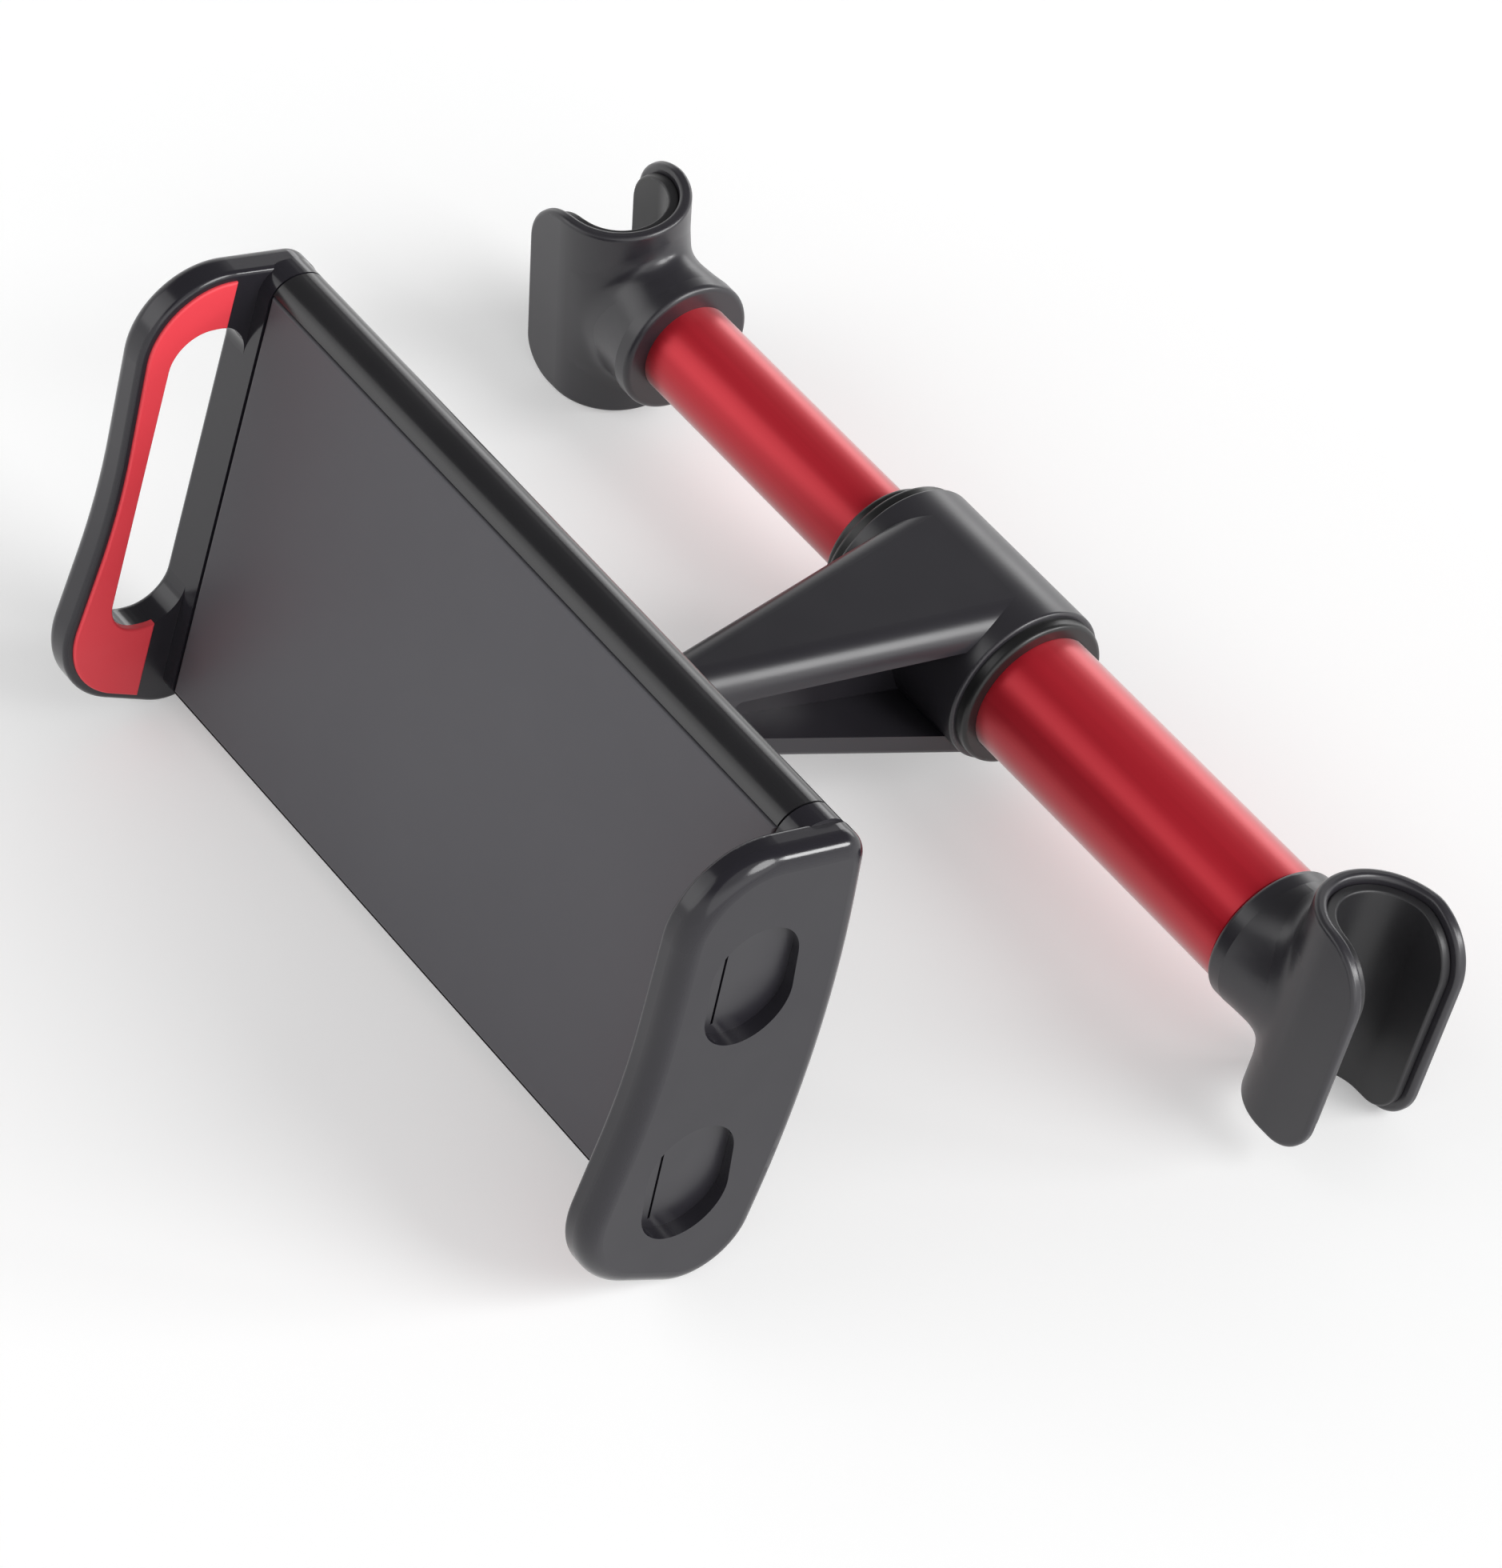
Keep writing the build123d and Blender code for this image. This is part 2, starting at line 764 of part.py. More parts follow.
# Tongues that carry the jaws, with the hooks of their springs, and the springs
tongues = {}
springs = {}
slot_middle_x = (slot_inner_x + slot_outer_x) / 2
spring_y = (bay_y + tongue_back_y) / 2
loop_radius_outer = spring_post_radius + spring_post_fit + spring_loop_wall
for name, side in (("left", left), ("right", right)):
    spring_z = side * spring_height_offset
    with BuildPart() as tongue:
        with BuildSketch(Plane.XZ.offset(-tongue_back_y)):
            with Locations((arm_x + side * (tongue_centre_gap + seam_x) / 2, 0)):
                RectangleRounded(seam_x - tongue_centre_gap, tongue_height, tongue_corner_radius)
            with Locations((arm_x + side * (seam_x + (tongue_tab_length - tongue_corner_radius) / 2), 0)):
                Rectangle(tongue_tab_length + tongue_corner_radius, tongue_tab_height)
            with Locations(
                (arm_x + side * slot_middle_x, boss_z),
                (arm_x + side * slot_middle_x, -boss_z),
            ):
                SlotOverall(slot_outer_x - slot_inner_x, 2 * slot_half, mode=Mode.SUBTRACT)
        extrude(amount=tongue_thickness)
        extrude(
            spot(side * spring_hook_x, tongue_back_y, spring_z, spring_post_radius),
            amount=-(bay_y - tongue_back_y - spring_clearance),
        )
        for z in (-jaw_screw_z, jaw_screw_z):
            extrude(
                spot(side * (seam_x + jaw_screw_inset), tongue_back_y, z, jaw_screw_radius),
                amount=tongue_thickness,
                mode=Mode.SUBTRACT,
            )
    with BuildPart() as spring:
        for x in (side * spring_hook_x, -side * spring_anchor_x):
            extrude(
                spot(x, spring_y, spring_z, loop_radius_outer),
                amount=spring_loop_thickness / 2,
                both=True,
            )
        coil_start = -side * (spring_anchor_x - loop_radius_outer + spring_loop_wall / 2)
        coil_end = side * (spring_hook_x - loop_radius_outer + spring_loop_wall / 2)
        with BuildSketch(Plane.YZ.offset(arm_x + coil_start)):
            with Locations((spring_y, spring_z)):
                Circle(spring_radius)
                Circle(spring_radius - spring_wall, mode=Mode.SUBTRACT)
        extrude(amount=coil_end - coil_start)
        for x in (side * spring_hook_x, -side * spring_anchor_x):
            extrude(
                spot(x, spring_y, spring_z, spring_post_radius + spring_post_fit),
                amount=spring_radius,
                both=True,
                mode=Mode.SUBTRACT,
            )
    tongues[name] = tongue
    springs[name] = spring


def seat_jaw(side):
    """Cuts the tongue's seat and the screw holes out of the jaw that is being made."""
    with BuildSketch(Plane.XZ.offset(-tongue_back_y)) as seat:
        with Locations((arm_x + side * (seam_x + tongue_tab_length / 2), 0)):
            Rectangle(tongue_tab_length, tongue_tab_height)
    extrude(seat.sketch, amount=tongue_thickness, mode=Mode.SUBTRACT)
    screw_x = side * (seam_x + jaw_screw_inset)
    for z in (-jaw_screw_z, jaw_screw_z):
        extrude(
            spot(screw_x, jaw_screw_y, z, jaw_screw_head_radius),
            amount=jaw_screw_y - jaw_back_y,
            mode=Mode.SUBTRACT,
        )
        extrude(
            spot(screw_x, jaw_screw_y, z, jaw_screw_radius),
            amount=jaw_screw_y - panel_back_y,
            mode=Mode.SUBTRACT,
        )


# Left jaw: a loop
with BuildPart() as left_jaw:
    extrude(jaw_outline(-jaw_inner_x, 0), amount=-jaw_thickness)
    fillet(left_jaw.faces().sort_by(Axis.X)[0].edges(), jaw_edge_radius)
    fillet(left_jaw.faces().sort_by(Axis.X)[-1].edges(), jaw_inner_edge_radius)
    extrude(shell_outline(-seam_x), amount=-jaw_foot - jaw_inner_edge_radius)
    extrude(jaw_loop(-seam_x), amount=-jaw_foot - jaw_thickness, mode=Mode.SUBTRACT)
    fillet(left_jaw.faces().sort_by(Axis.X)[0].inner_wires()[0].edges(), loop_edge_radius)
    extrude(
        pad_outline(-pad_inner_x, True),
        amount=-pad_thickness,
        mode=Mode.SUBTRACT,
    )
    seat_jaw(left)

# Right jaw: a closed plate with two sloping recesses outside, each with a slit
with BuildPart() as right_jaw:
    extrude(jaw_outline(jaw_inner_x, 0), amount=jaw_thickness)
    fillet(right_jaw.faces().sort_by(Axis.X)[-1].edges(), plate_edge_radius)
    fillet(right_jaw.faces().sort_by(Axis.X)[0].edges(), jaw_inner_edge_radius)
    extrude(shell_outline(seam_x), amount=jaw_foot + jaw_inner_edge_radius)
    extrude(pad_outline(pad_inner_x, False), amount=pad_thickness, mode=Mode.SUBTRACT)
    for z in (recess_upper_z, recess_lower_z):
        recess_origin = (arm_x + jaw_outer_x - recess_depth, front_y - recess_setback, z)
        recess_plane = Plane(recess_origin, x_dir=(0, 1, 0), z_dir=(1, 0, 0))
        recess_plane = recess_plane.rotated((recess_pitch, recess_roll, 0))
        with BuildSketch(recess_plane):
            SlotOverall(recess_height, recess_width, rotation=90)
        extrude(amount=2 * recess_depth + plate_edge_radius, mode=Mode.SUBTRACT)
        with BuildSketch(recess_plane.offset(-slit_depth)):
            with Locations((-slit_offset, slit_rise)):
                Rectangle(slit_width, slit_length)
        extrude(amount=2 * recess_depth + plate_edge_radius, mode=Mode.SUBTRACT)
    seat_jaw(right)

# Grip pads
with BuildPart() as left_pad:
    extrude(pad_outline(-pad_inner_x, True), amount=-pad_thickness)
    fillet(left_pad.faces().sort_by(Axis.X)[-1].edges(), pad_edge_radius)
with BuildPart() as right_pad:
    extrude(pad_outline(pad_inner_x, False), amount=pad_thickness)
    fillet(right_pad.faces().sort_by(Axis.X)[0].edges(), pad_edge_radius)

# Screws that hold the jaws to their tongues
jaw_screws = {}
for name, side in (("left", left), ("right", right)):
    screw_x = side * (seam_x + jaw_screw_inset)
    with BuildPart() as screws:
        for z in (-jaw_screw_z, jaw_screw_z):
            extrude(spot(screw_x, jaw_screw_y, z, jaw_screw_head_radius), amount=-jaw_screw_head_height)
            extrude(spot(screw_x, jaw_screw_y, z, jaw_screw_radius), amount=jaw_screw_y - panel_back_y)
    jaw_screws[name] = screws

# One STEP file for each piece
os.makedirs("parts", exist_ok=True)
outer_tube.part.label = "outer_tube"
export_step(outer_tube.part, "parts/outer_tube.step")
inner_tube.part.label = "inner_tube"
export_step(inner_tube.part, "parts/inner_tube.step")
tube_guide_bush.part.label = "tube_guide_bush"
export_step(tube_guide_bush.part, "parts/tube_guide_bush.step")
lock_screw.part.label = "lock_screw"
export_step(lock_screw.part, "parts/lock_screw.step")
lock_expander.part.label = "lock_expander"
export_step(lock_expander.part, "parts/lock_expander.step")
for name in ("fixed", "sliding"):
    forks[name].label = f"{name}_clip"
    export_step(forks[name], f"parts/{name}_clip.step")
    liners[name].label = f"{name}_clip_liner"
    export_step(liners[name], f"parts/{name}_clip_liner.step")
arm.part.label = "arm"
export_step(arm.part, "parts/arm.step")
ball_stud.part.label = "ball_stud"
export_step(ball_stud.part, "parts/ball_stud.step")
friction_cup.part.label = "friction_cup"
export_step(friction_cup.part, "parts/friction_cup.step")
ball_nut.part.label = "ball_nut"
export_step(ball_nut.part, "parts/ball_nut.step")
cradle_rear.part.label = "cradle_rear"
export_step(cradle_rear.part, "parts/cradle_rear.step")
cradle_front.part.label = "cradle_front"
export_step(cradle_front.part, "parts/cradle_front.step")
cradle_screws.part.label = "cradle_screws"
export_step(cradle_screws.part, "parts/cradle_screws.step")
left_jaw.part.label = "left_jaw"
export_step(left_jaw.part, "parts/left_jaw.step")
right_jaw.part.label = "right_jaw"
export_step(right_jaw.part, "parts/right_jaw.step")
left_pad.part.label = "left_pad"
export_step(left_pad.part, "parts/left_pad.step")
right_pad.part.label = "right_pad"
export_step(right_pad.part, "parts/right_pad.step")
for name in ("left", "right"):
    bushes[name].part.label = f"sleeve_bush_{name}"
    export_step(bushes[name].part, f"parts/sleeve_bush_{name}.step")
    tongues[name].part.label = f"{name}_tongue"
    export_step(tongues[name].part, f"parts/{name}_tongue.step")
    springs[name].part.label = f"{name}_spring"
    export_step(springs[name].part, f"parts/{name}_spring.step")
    jaw_screws[name].part.label = f"{name}_jaw_screws"
    export_step(jaw_screws[name].part, f"parts/{name}_jaw_screws.step")
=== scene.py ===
import math

import bmesh
import bpy
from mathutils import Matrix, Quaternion, Vector
from mathutils.bvhtree import BVHTree


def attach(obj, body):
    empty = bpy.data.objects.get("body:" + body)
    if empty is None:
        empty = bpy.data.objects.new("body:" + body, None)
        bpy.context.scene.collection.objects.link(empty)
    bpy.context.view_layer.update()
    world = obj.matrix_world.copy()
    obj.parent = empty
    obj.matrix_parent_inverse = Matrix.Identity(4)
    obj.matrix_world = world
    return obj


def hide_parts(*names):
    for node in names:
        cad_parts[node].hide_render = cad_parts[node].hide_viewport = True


# Headrest tablet mount. Metres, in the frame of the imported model.

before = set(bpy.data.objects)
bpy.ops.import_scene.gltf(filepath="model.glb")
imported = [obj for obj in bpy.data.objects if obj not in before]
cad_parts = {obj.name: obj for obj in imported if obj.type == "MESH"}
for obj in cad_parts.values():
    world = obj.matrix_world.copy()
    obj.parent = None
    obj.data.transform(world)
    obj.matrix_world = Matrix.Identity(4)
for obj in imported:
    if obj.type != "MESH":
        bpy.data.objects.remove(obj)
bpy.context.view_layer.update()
scene = bpy.context.scene
scene.view_settings.view_transform = "Standard"

MM = 0.001

# Place and lens of the camera
camera_place = Vector((428.5, -599.6, 555.8)) * MM
camera_target = Vector((-70.2, -52.7, 0.0)) * MM
camera_roll = math.radians(17.74)
camera_lens = 155.36
camera_sensor = 36.0

# Floor: what shows of it glows a little and takes shadows, and what lights the object is plain pale paper
floor_size = 30.0
floor_glow = 0.32
floor_lit = 0.75
floor_bounce = 0.85
floor_settling_turns = 4

# Sky: white where it shows, and as a light brighter round the horizon than overhead
shown_sky = 1.0
horizon_light = 0.95
zenith_light = 0.14
horizon_height = 0.30
zenith_height = 0.65

# Lamps: name, direction that the light comes from, strength, width in degrees
lamps = (
    ("key", (0.70, 0.28, 0.66), 1.5, 30),
    ("key_fill", (0.84, -0.10, 0.53), 0.9, 80),
    ("edge", (0.55, 0.68, 0.48), 0.65, 13),
    ("back", (-0.45, 0.88, 0.06), 1.1, 50),
    ("left", (-0.50, -0.78, 0.38), 0.45, 44),
)

# Noise in the finishes: scale and detail of each kind, and the span of its values that is used
flow_marks = (30.0, 2.0)
uneven_gloss = (120.0, 1.0)
moulded_grain = (7000.0, 1.0)
drawn_lines = (900.0, 3.0)
zinc_mottle = (700.0, 4.0)
zinc_gloss = (300.0, 3.0)
noise_low = 0.2
noise_high = 0.8

# Relief of the finishes, and the stretch that draws noise out along a tube
grain_depth = 0.03 * MM
line_depth = 0.02 * MM
line_strength = 0.15
plain = (1.0, 1.0, 1.0)
along_tube = (0.02, 1.0, 1.0)

# Share of the normal along an axis where a rounded edge starts to turn into a flat face, and where it is one
flat_from = 0.86
flat_to = 0.99

# Fillets between the necks and the forks: node, body, place of the post, outward side, turn on the bar
post_spacing = 175.5 * MM
fork_radius = 10.7 * MM
fork_twist = math.radians(14.0)
blend_forks = (
    ("fixed_clip", "bar", 0.0, 1.0, 0.0),
    ("sliding_clip", "inner_bar", -post_spacing, -1.0, fork_twist),
)
blend_size = 3.6 * MM
blend_spokes = 96
blend_segments = 12
blend_sink = 0.02 * MM
blend_root = 0.6 * MM
blend_limit = 0.985
blend_fullness = 0.55
blend_sharp_angle = math.radians(50.0)
scan_start = 14.6 * MM
scan_step = 0.05 * MM
scan_reach = 30.0 * MM

# Screws: node, body, radius of the head. The rim, the space between heads, and the length, width and taper
# of the recess are shares
screws = (
    ("cradle_screws", "cradle", 2.6 * MM),
    ("left_jaw_screws", "left_jaw", 1.5 * MM),
    ("right_jaw_screws", "right_jaw", 1.5 * MM),
)
screw_weld = 0.001 * MM
screw_rim = 0.12
screw_rim_segments = 3
screw_sharp_angle = math.radians(35.0)
heads_apart = 3.0
recess_length = 0.62
recess_width = 0.17
recess_taper = 0.75
recess_depth = 0.7 * MM
recess_over = 0.1 * MM


def material(name, sockets):
    """A new material and its Principled shader, with values for some of the shader's sockets."""
    made = bpy.data.materials.new(name)
    made.use_nodes = True
    shader = made.node_tree.nodes["Principled BSDF"]
    for socket, value in sockets.items():
        shader.inputs[socket].default_value = value
    return made, shader


def noise(made, scale, detail, stretch=plain):
    """Noise in the piece's own space."""
    tree = made.node_tree
    place = tree.nodes.new("ShaderNodeTexCoord")
    mapping = tree.nodes.new("ShaderNodeMapping")
    mapping.inputs["Scale"].default_value = stretch
    texture = tree.nodes.new("ShaderNodeTexNoise")
    texture.inputs["Scale"].default_value = scale
    texture.inputs["Detail"].default_value = detail
    tree.links.new(place.outputs["Object"], mapping.inputs["Vector"])
    tree.links.new(mapping.outputs["Vector"], texture.inputs["Vector"])
    return texture.outputs["Fac"]


def spread(made, value, low, high):
    """Maps a noise value onto the span from low to high, with soft ends."""
    node = made.node_tree.nodes.new("ShaderNodeMapRange")
    node.interpolation_type = "SMOOTHSTEP"
    node.inputs["From Min"].default_value = noise_low
    node.inputs["From Max"].default_value = noise_high
    node.inputs["To Min"].default_value = low
    node.inputs["To Max"].default_value = high
    made.node_tree.links.new(value, node.inputs["Value"])
    return node.outputs["Result"]


def colour(made, shader, value, dark, light):
    """Base colour between dark and light, by a noise value."""
    node = made.node_tree.nodes.new("ShaderNodeMix")
    node.data_type = "RGBA"
    node.inputs["A"].default_value = (*dark, 1.0)
    node.inputs["B"].default_value = (*light, 1.0)
    made.node_tree.links.new(spread(made, value, 0.0, 1.0), node.inputs["Factor"])
    made.node_tree.links.new(node.outputs["Result"], shader.inputs["Base Color"])


def relief(made, shader, height, distance, strength):
    """Surface relief from a height value."""
    node = made.node_tree.nodes.new("ShaderNodeBump")
    node.inputs["Distance"].default_value = distance
    node.inputs["Strength"].default_value = strength
    made.node_tree.links.new(height, node.inputs["Height"])
    made.node_tree.links.new(node.outputs["Normal"], shader.inputs["Normal"])


def flatness(made, axis):
    """1 on faces square to an axis of the piece, 0 on its rounded edges."""
    tree = made.node_tree
    place = tree.nodes.new("ShaderNodeTexCoord")
    parts = tree.nodes.new("ShaderNodeSeparateXYZ")
    size = tree.nodes.new("ShaderNodeMath")
    size.operation = "ABSOLUTE"
    step = tree.nodes.new("ShaderNodeMapRange")
    step.interpolation_type = "SMOOTHSTEP"
    step.inputs["From Min"].default_value = flat_from
    step.inputs["From Max"].default_value = flat_to
    tree.links.new(place.outputs["Normal"], parts.inputs["Vector"])
    tree.links.new(parts.outputs[axis], size.inputs[0])
    tree.links.new(size.outputs["Value"], step.inputs["Value"])
    return step.outputs["Result"]


def glossy_edges(made, axis, edge_gloss, gloss):
    """Roughness that falls to edge_gloss on the edges round the faces square to an axis."""
    node = made.node_tree.nodes.new("ShaderNodeMix")
    node.inputs["A"].default_value = edge_gloss
    made.node_tree.links.new(flatness(made, axis), node.inputs["Factor"])
    made.node_tree.links.new(gloss, node.inputs["B"])
    return node.outputs["Result"]


def moulded_plastic(name, colours, roughness, grain, specular=0.5, flat_axis=None, edge_gloss=None):
    """Moulded plastic or rubber: faint flow marks, uneven gloss and a fine grain."""
    made, shader = material(name, {"Specular IOR Level": specular})
    colour(made, shader, noise(made, *flow_marks), *colours)
    gloss = spread(made, noise(made, *uneven_gloss), *roughness)
    if flat_axis:
        gloss = glossy_edges(made, flat_axis, edge_gloss, gloss)
    made.node_tree.links.new(gloss, shader.inputs["Roughness"])
    relief(made, shader, noise(made, *moulded_grain), grain_depth, grain)
    return made


def anodised(name, colours, roughness, sockets):
    """Anodised aluminium: drawn lines along the tube under a clear layer."""
    made, shader = material(name, sockets)
    lines = noise(made, *drawn_lines, along_tube)
    colour(made, shader, lines, *colours)
    made.node_tree.links.new(spread(made, lines, *roughness), shader.inputs["Roughness"])
    relief(made, shader, lines, line_depth, line_strength)
    return made


def zinc(name, colours, roughness):
    """Zinc-plated steel with faint mottling."""
    made, shader = material(name, {"Metallic": 1.0})
    colour(made, shader, noise(made, *zinc_mottle), *colours)
    gloss = spread(made, noise(made, *zinc_gloss), *roughness)
    made.node_tree.links.new(gloss, shader.inputs["Roughness"])
    return made


satin_black = moulded_plastic(
    "satin_black",
    colours=((0.022, 0.0205, 0.0255), (0.025, 0.0235, 0.0285)),
    roughness=(0.285, 0.33),
    grain=0.015,
    specular=0.65,
)
jaw_black = moulded_plastic(
    "jaw_black",
    colours=((0.014, 0.0128, 0.0175), (0.018, 0.0168, 0.0215)),
    roughness=(0.30, 0.38),
    grain=0.03,
    flat_axis="X",
    edge_gloss=0.16,
)
gloss_black = moulded_plastic(
    "gloss_black",
    colours=((0.014, 0.0135, 0.0152), (0.017, 0.0165, 0.0182)),
    roughness=(0.18, 0.25),
    grain=0.015,
)
panel_grey = moulded_plastic(
    "panel_grey",
    colours=((0.083, 0.0815, 0.091), (0.087, 0.0855, 0.095)),
    roughness=(0.43, 0.47),
    grain=0.04,
    specular=0.3,
)
red_silicone = moulded_plastic(
    "red_silicone",
    colours=((0.78, 0.048, 0.066), (0.84, 0.056, 0.076)),
    roughness=(0.5, 0.62),
    grain=0.12,
)
black_rubber = moulded_plastic(
    "black_rubber",
    colours=((0.017, 0.0165, 0.0185), (0.021, 0.0205, 0.0225)),
    roughness=(0.36, 0.42),
    grain=0.1,
)
black_nylon = moulded_plastic(
    "black_nylon",
    colours=((0.009, 0.009, 0.0095), (0.013, 0.013, 0.0135)),
    roughness=(0.29, 0.36),
    grain=0.08,
)
red_aluminium = anodised(
    "red_aluminium",
    colours=((0.58, 0.007, 0.022), (0.64, 0.010, 0.028)),
    roughness=(0.34, 0.42),
    sockets={
        "Metallic": 0.4,
        "Specular IOR Level": 0.1,
        "Coat Weight": 0.5,
        "Coat Roughness": 0.32,
        "Sheen Weight": 0.9,
        "Sheen Roughness": 0.35,
    },
)
zinc_steel = zinc(
    "zinc_steel",
    colours=((0.48, 0.49, 0.51), (0.60, 0.61, 0.63)),
    roughness=(0.285, 0.4),
)

# The finish of each node
finishes = {
    "outer_tube": red_aluminium,
    "inner_tube": red_aluminium,
    "tube_guide_bush": black_nylon,
    "fixed_clip": satin_black,
    "sliding_clip": satin_black,
    "fixed_clip_liner": black_rubber,
    "sliding_clip_liner": black_rubber,
    "arm": satin_black,
    "sleeve_bush_left": black_nylon,
    "sleeve_bush_right": black_nylon,
    "ball_stud": zinc_steel,
    "friction_cup": black_nylon,
    "ball_nut": satin_black,
    "cradle_rear": gloss_black,
    "cradle_front": panel_grey,
    "cradle_screws": zinc_steel,
    "left_jaw": jaw_black,
    "right_jaw": jaw_black,
    "left_pad": red_silicone,
    "right_pad": red_silicone,
    "left_tongue": black_nylon,
    "right_tongue": black_nylon,
    "left_spring": zinc_steel,
    "right_spring": zinc_steel,
    "left_jaw_screws": zinc_steel,
    "right_jaw_screws": zinc_steel,
    "lock_screw": zinc_steel,
    "lock_expander": black_nylon,
}
for name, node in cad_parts.items():
    node.data.materials.clear()
    node.data.materials.append(finishes[name])


def new_piece(work, name):
    """An object with the mesh that was worked on."""
    made = bpy.data.meshes.new(name)
    work.to_mesh(made)
    work.free()
    piece = bpy.data.objects.new(name, made)
    scene.collection.objects.link(piece)
    return piece


def dress(piece, finish, sharp_angle):
    """Gives a piece its finish, and smooth shading between the edges sharper than an angle."""
    made = piece.data
    made.polygons.foreach_set("use_smooth", [True] * len(made.polygons))
    made.set_sharp_from_angle(angle=sharp_angle)
    made.materials.clear()
    made.materials.append(finish)


def fork_distance(height, across):
    """How far the fork's round outside lies from the post's axis, at a height on a spoke."""
    return math.sqrt(max(fork_radius**2 - (height * across) ** 2, 0.0))


def cubic(begin, begin_pull, end_pull, end, u):
    """A point on a cubic curve between two ends, with a pull on each."""
    v = 1 - u
    return begin * v**3 + begin_pull * (3 * u * v**2) + end_pull * (3 * u**2 * v) + end * u**3


def blend_section(neck_height, spoke, across):
    """Outline of a fillet on one spoke: distances from the post's axis, heights above the bar's axis."""
    crease = scan_start
    crease_height = neck_height(crease, spoke)
    while crease > fork_distance(crease_height, across):
        crease -= scan_step
        crease_height = min(neck_height(crease, spoke), crease_height + scan_step)
    start = crease + blend_size
    start_height = neck_height(start, spoke)
    end_height = crease_height + blend_size
    if end_height * across > blend_limit * fork_radius:
        end_height = blend_limit * fork_radius / across
    end = fork_distance(end_height, across)
    on_neck = Vector((start, start_height - blend_sink))
    on_fork = Vector((end - blend_sink, end_height))
    along_neck = Vector((crease - start, crease_height - start_height)).normalized()
    along_fork = Vector((-end_height * across**2, end)).normalized()
    pull = blend_fullness * (on_fork - on_neck).length
    controls = (on_neck, on_neck + along_neck * pull, on_fork - along_fork * pull, on_fork)
    section = [cubic(*controls, part / blend_segments) for part in range(blend_segments + 1)]
    section.append(Vector((crease - blend_root, crease_height - blend_root)))
    return section


def neck_blend(name, body, post_x, outward, twist):
    """A hollow fillet round the neck of a fork, tangent to the neck and to the fork."""
    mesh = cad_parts[name].data
    points = [vertex.co for vertex in mesh.vertices]
    surface = BVHTree.FromPolygons(points, [face.vertices for face in mesh.polygons])

    def on_bar(distance):
        return Vector((post_x - outward * distance, 0.0, 0.0))

    def neck_height(distance, spoke):
        outside = on_bar(distance) + spoke * scan_reach
        return surface.ray_cast(outside, -spoke)[0].dot(spoke)

    work = bmesh.new()
    loops = []
    for step in range(blend_spokes):
        angle = 2 * math.pi * step / blend_spokes
        spoke = Vector((0.0, math.cos(angle + twist), math.sin(angle + twist)))
        section = blend_section(neck_height, spoke, abs(math.cos(angle)))
        loops.append([work.verts.new(on_bar(point.x) + spoke * point.y) for point in section])
    for here, there in zip(loops, loops[1:] + loops[:1]):
        for low in range(len(here)):
            high = (low + 1) % len(here)
            work.faces.new((here[low], here[high], there[high], there[low]))
    bmesh.ops.recalc_face_normals(work, faces=work.faces)
    piece = new_piece(work, name + "_blend")
    dress(piece, satin_black, blend_sharp_angle)
    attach(piece, body)


for fork in blend_forks:
    neck_blend(*fork)


def head_places(mesh, radius):
    """Middle of each screw head's outer face, which looks along +Y."""
    top = max(vertex.co.y for vertex in mesh.vertices)
    heads = []
    for vertex in mesh.vertices:
        if vertex.co.y < top - screw_weld:
            continue
        near = [head for head in heads if (head[0] - vertex.co).length < heads_apart * radius]
        if near:
            near[0].append(vertex.co)
        else:
            heads.append([vertex.co])
    places = []
    for head in heads:
        spans = [(min(values), max(values)) for values in zip(*head)]
        places.append(Vector([(low + high) / 2 for low, high in spans]))
    return places


def recess_cutter(places, radius):
    """Crossed tapered blades, a pair at each place."""
    work = bmesh.new()
    for place in places:
        for length, width in ((recess_length, recess_width), (recess_width, recess_length)):
            rings = []
            for depth, scale in ((recess_over, 1.0), (-recess_depth, recess_taper)):
                across = length * radius * scale
                up = width * radius * scale
                corners = ((-across, -up), (across, -up), (across, up), (-across, up))
                rings.append([work.verts.new(place + Vector((x, depth, z))) for x, z in corners])
            outer, inner = rings
            work.faces.new(outer)
            work.faces.new(inner)
            for first in range(len(outer)):
                second = (first + 1) % len(outer)
                work.faces.new((outer[first], outer[second], inner[second], inner[first]))
    bmesh.ops.recalc_face_normals(work, faces=work.faces)
    return new_piece(work, "recess_cutter")


def cross_headed(name, body, radius):
    """Stands for a node of screws: the same screws with cross recesses and rims that are shaded round."""
    work = bmesh.new()
    work.from_mesh(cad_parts[name].data)
    bmesh.ops.remove_doubles(work, verts=work.verts, dist=screw_weld)
    piece = new_piece(work, name + "_heads")
    # Short edges in the mesh leave the rim a very narrow rounding, which shows in its shading alone
    rim = piece.modifiers.new("rim", "BEVEL")
    rim.width = screw_rim * radius
    rim.segments = screw_rim_segments
    rim.limit_method = "ANGLE"
    cutter = recess_cutter(head_places(piece.data, radius), radius)
    cut = piece.modifiers.new("recess", "BOOLEAN")
    cut.object = cutter
    cut.solver = "EXACT"
    cut.use_self = True
    bpy.context.view_layer.update()
    shaped = piece.evaluated_get(bpy.context.evaluated_depsgraph_get())
    piece_mesh = bpy.data.meshes.new_from_object(shaped)
    piece.modifiers.clear()
    piece.data = piece_mesh
    bpy.data.objects.remove(cutter)
    dress(piece, zinc_steel, screw_sharp_angle)
    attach(piece, body)
    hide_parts(name)


for screw in screws:
    cross_headed(*screw)


def lowest(name, up):
    """The point of a node that lies lowest along a direction."""
    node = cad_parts[name]
    points = [node.matrix_world @ vertex.co for vertex in node.data.vertices]
    return min(points, key=up.dot)


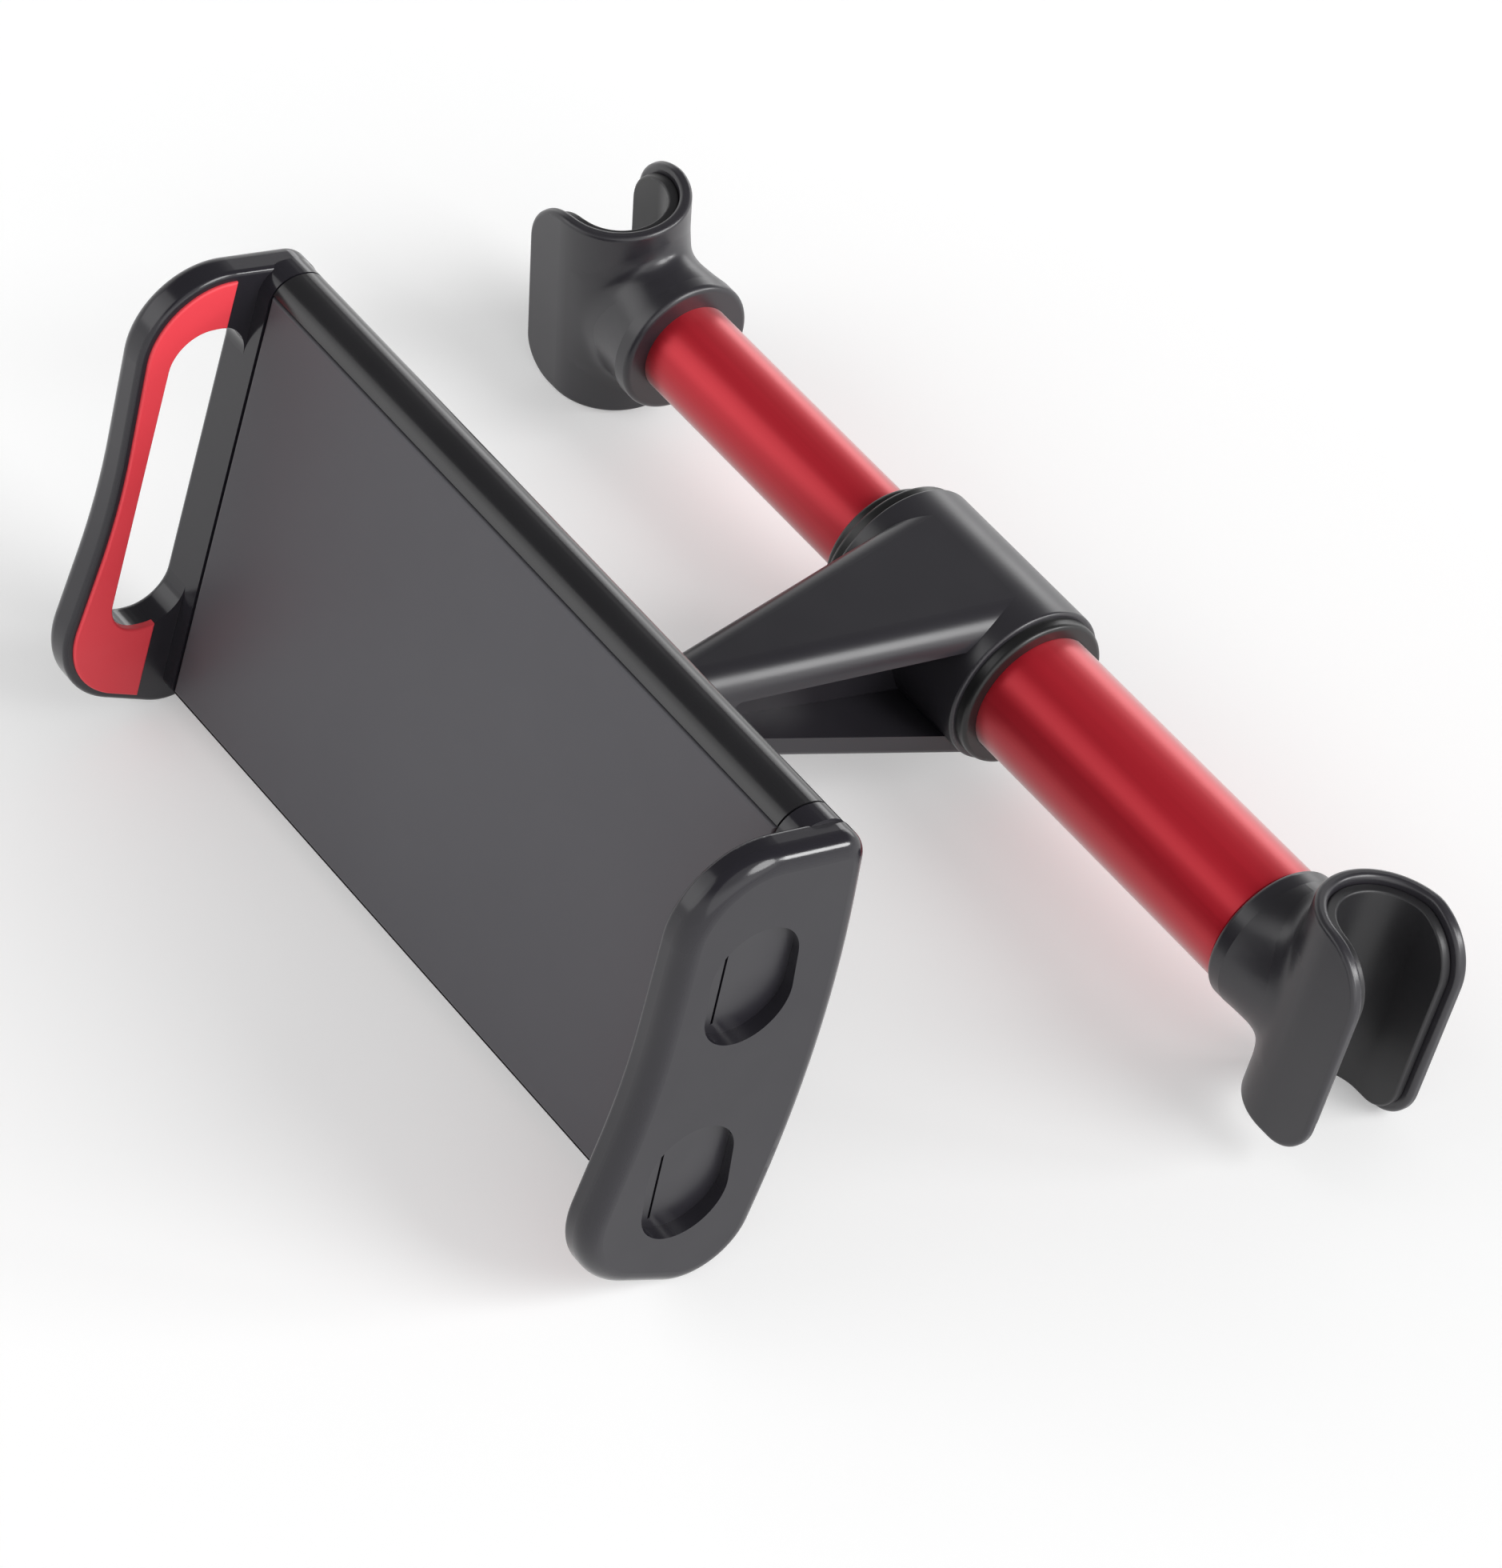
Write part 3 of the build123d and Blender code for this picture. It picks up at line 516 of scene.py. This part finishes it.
def resting_plane():
    """A point of the floor and its upward direction: the mount lies on its two forks and the two jaws."""
    up = Vector((0.0, 0.0, 1.0))
    for _ in range(floor_settling_turns):
        near_fork = lowest("fixed_clip", up)
        far_fork = lowest("sliding_clip", up)
        jaws = (lowest("left_jaw", up) + lowest("right_jaw", up)) / 2
        up = (near_fork - far_fork).cross(near_fork - jaws).normalized()
        if up.z < 0:
            up.negate()
    return near_fork, up


def floor_paper():
    """Pale paper: one level for what the camera and reflections see, one for the light it throws back."""
    made = bpy.data.materials.new("floor_paper")
    made.use_nodes = True
    tree = made.node_tree
    tree.nodes.clear()
    output = tree.nodes.new("ShaderNodeOutputMaterial")
    choose = tree.nodes.new("ShaderNodeMixShader")
    light_path = tree.nodes.new("ShaderNodeLightPath")
    bounce = tree.nodes.new("ShaderNodeBsdfDiffuse")
    bounce.inputs["Color"].default_value = (floor_bounce, floor_bounce, floor_bounce, 1.0)
    seen = tree.nodes.new("ShaderNodeAddShader")
    lit = tree.nodes.new("ShaderNodeBsdfDiffuse")
    lit.inputs["Color"].default_value = (floor_lit, floor_lit, floor_lit, 1.0)
    glow = tree.nodes.new("ShaderNodeEmission")
    glow.inputs["Strength"].default_value = floor_glow
    shows = tree.nodes.new("ShaderNodeMath")
    shows.operation = "MAXIMUM"
    tree.links.new(light_path.outputs["Is Camera Ray"], shows.inputs[0])
    tree.links.new(light_path.outputs["Is Glossy Ray"], shows.inputs[1])
    tree.links.new(lit.outputs["BSDF"], seen.inputs[0])
    tree.links.new(glow.outputs["Emission"], seen.inputs[1])
    tree.links.new(shows.outputs["Value"], choose.inputs["Fac"])
    tree.links.new(bounce.outputs["BSDF"], choose.inputs[1])
    tree.links.new(seen.outputs["Shader"], choose.inputs[2])
    tree.links.new(choose.outputs["Shader"], output.inputs["Surface"])
    return made


# Floor
bpy.ops.mesh.primitive_plane_add(size=floor_size)
floor = bpy.context.object
floor.name = "floor"
floor_place, floor_up = resting_plane()
floor.location = floor_place
floor.rotation_mode = "QUATERNION"
floor.rotation_quaternion = floor_up.to_track_quat("Z", "Y")
floor.data.materials.append(floor_paper())


def studio_sky():
    """A world that is white to the camera and a plain soft light for everything else."""
    world = bpy.data.worlds.new("studio")
    world.use_nodes = True
    tree = world.node_tree
    backdrop = tree.nodes["Background"]
    backdrop.inputs["Color"].default_value = (1.0, 1.0, 1.0, 1.0)
    ray = tree.nodes.new("ShaderNodeLightPath")
    direction = tree.nodes.new("ShaderNodeTexCoord")
    height = tree.nodes.new("ShaderNodeSeparateXYZ")
    fall = tree.nodes.new("ShaderNodeMapRange")
    fall.interpolation_type = "SMOOTHSTEP"
    fall.inputs["From Min"].default_value = horizon_height
    fall.inputs["From Max"].default_value = zenith_height
    fall.inputs["To Min"].default_value = horizon_light
    fall.inputs["To Max"].default_value = zenith_light
    level = tree.nodes.new("ShaderNodeMix")
    level.inputs["B"].default_value = shown_sky
    tree.links.new(direction.outputs["Generated"], height.inputs["Vector"])
    tree.links.new(height.outputs["Z"], fall.inputs["Value"])
    tree.links.new(ray.outputs["Is Camera Ray"], level.inputs["Factor"])
    tree.links.new(fall.outputs["Result"], level.inputs["A"])
    tree.links.new(level.outputs["Result"], backdrop.inputs["Strength"])
    return world


scene.world = studio_sky()


def soft_sun(name, direction, strength, angle):
    """A wide, even light from a direction."""
    lamp = bpy.data.lights.new(name, "SUN")
    lamp.energy = strength
    lamp.angle = angle
    holder = bpy.data.objects.new(name, lamp)
    holder.rotation_mode = "QUATERNION"
    holder.rotation_quaternion = direction.to_track_quat("Z", "Y")
    scene.collection.objects.link(holder)


for name, direction, strength, width in lamps:
    soft_sun(name, Vector(direction), strength, math.radians(width))

# Camera
lens = bpy.data.cameras.new("camera")
lens.lens = camera_lens
lens.sensor_width = camera_sensor
camera = bpy.data.objects.new("camera", lens)
scene.collection.objects.link(camera)
scene.camera = camera
level_view = (camera_target - camera_place).to_track_quat("-Z", "Y")
camera.location = camera_place
camera.rotation_mode = "QUATERNION"
camera.rotation_quaternion = level_view @ Quaternion((0.0, 0.0, 1.0), camera_roll)
